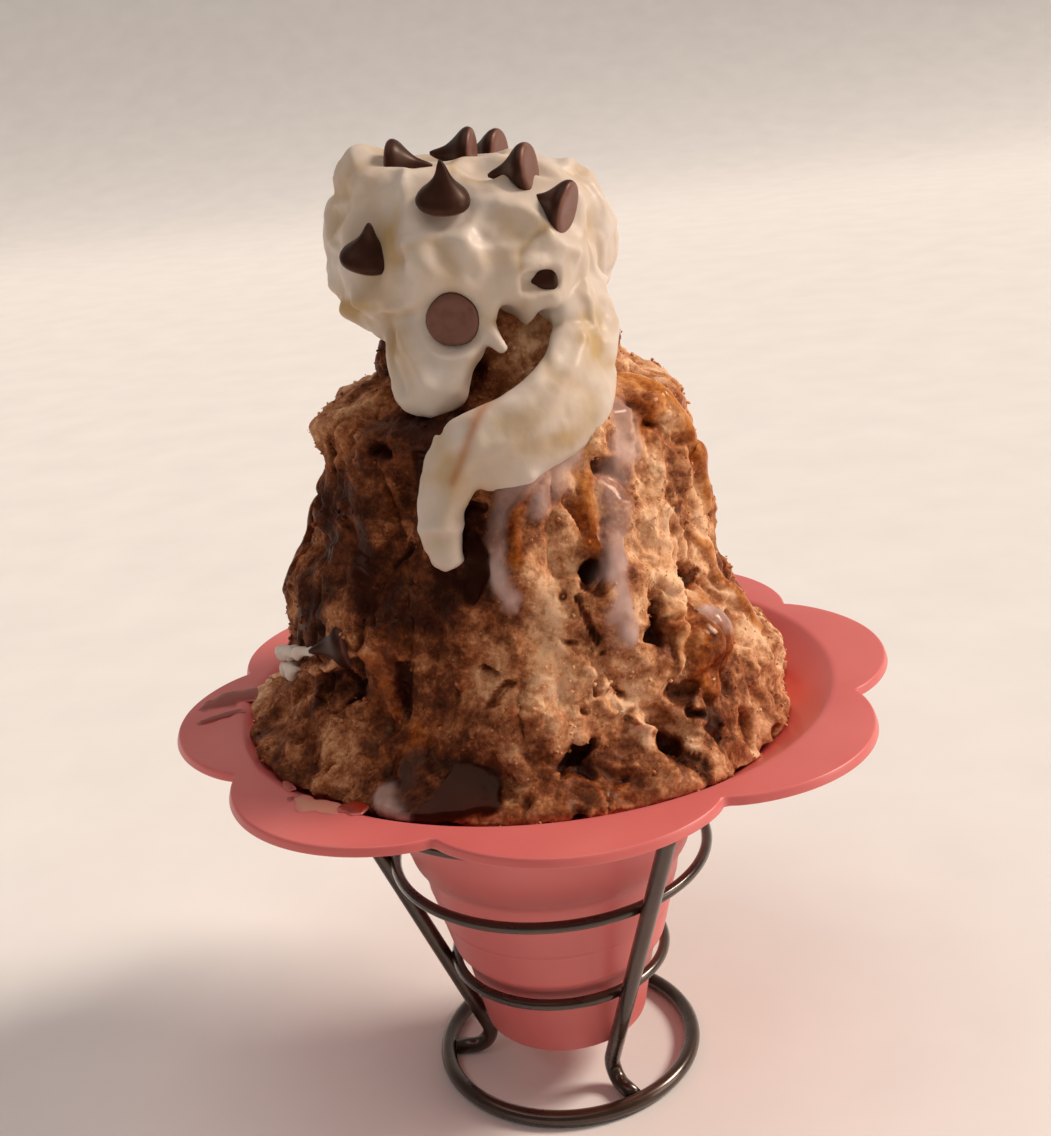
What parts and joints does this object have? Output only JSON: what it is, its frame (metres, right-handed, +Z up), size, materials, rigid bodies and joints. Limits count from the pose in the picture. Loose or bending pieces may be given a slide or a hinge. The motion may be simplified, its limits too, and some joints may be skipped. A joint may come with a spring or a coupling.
{
  "type": "shaved ice dessert",
  "caption": "Chocolate shaved ice heaped in a pink flower-rimmed cup, capped with whipped cream and chocolate chips, standing in a bent wire holder.",
  "frame": {"origin": "on the surface the stand rests on, under the axis of the cup", "axes": "+Z up along the axis of the cup; -Y is the side where the run of cream hangs down"},
  "size_m": [0.1494, 0.1494, 0.2041],
  "materials": {
    "cup_plastic": "pink moulded polystyrene, satin",
    "stand_wire": "dark brown lacquer on steel wire",
    "ice": "grainy shaved ice soaked with chocolate and caramel syrup",
    "cream": "soft ivory whipped cream",
    "chocolate": "dark chocolate, satin"
  },
  "bodies": {
    "root": {"flower_cup": "cup_plastic", "shaved_ice": "ice", "whipped_cream": "cream", "stand_leg_left": "stand_wire", "stand_leg_right": "stand_wire", "stand_leg_back": "stand_wire", "stand_ring_top": "stand_wire", "stand_ring_middle": "stand_wire", "stand_ring_low": "stand_wire", "stand_ring_base": "stand_wire", "chip_rear_left": "chocolate", "chip_top_left": "chocolate", "chip_top_right": "chocolate", "chip_crown": "chocolate", "chip_right": "chocolate", "chip_front": "chocolate", "chip_left": "chocolate", "chip_low_right": "chocolate", "chip_disc": "chocolate", "chip_back": "chocolate", "chip_fallen": "chocolate"}
  },
  "joints": []
}
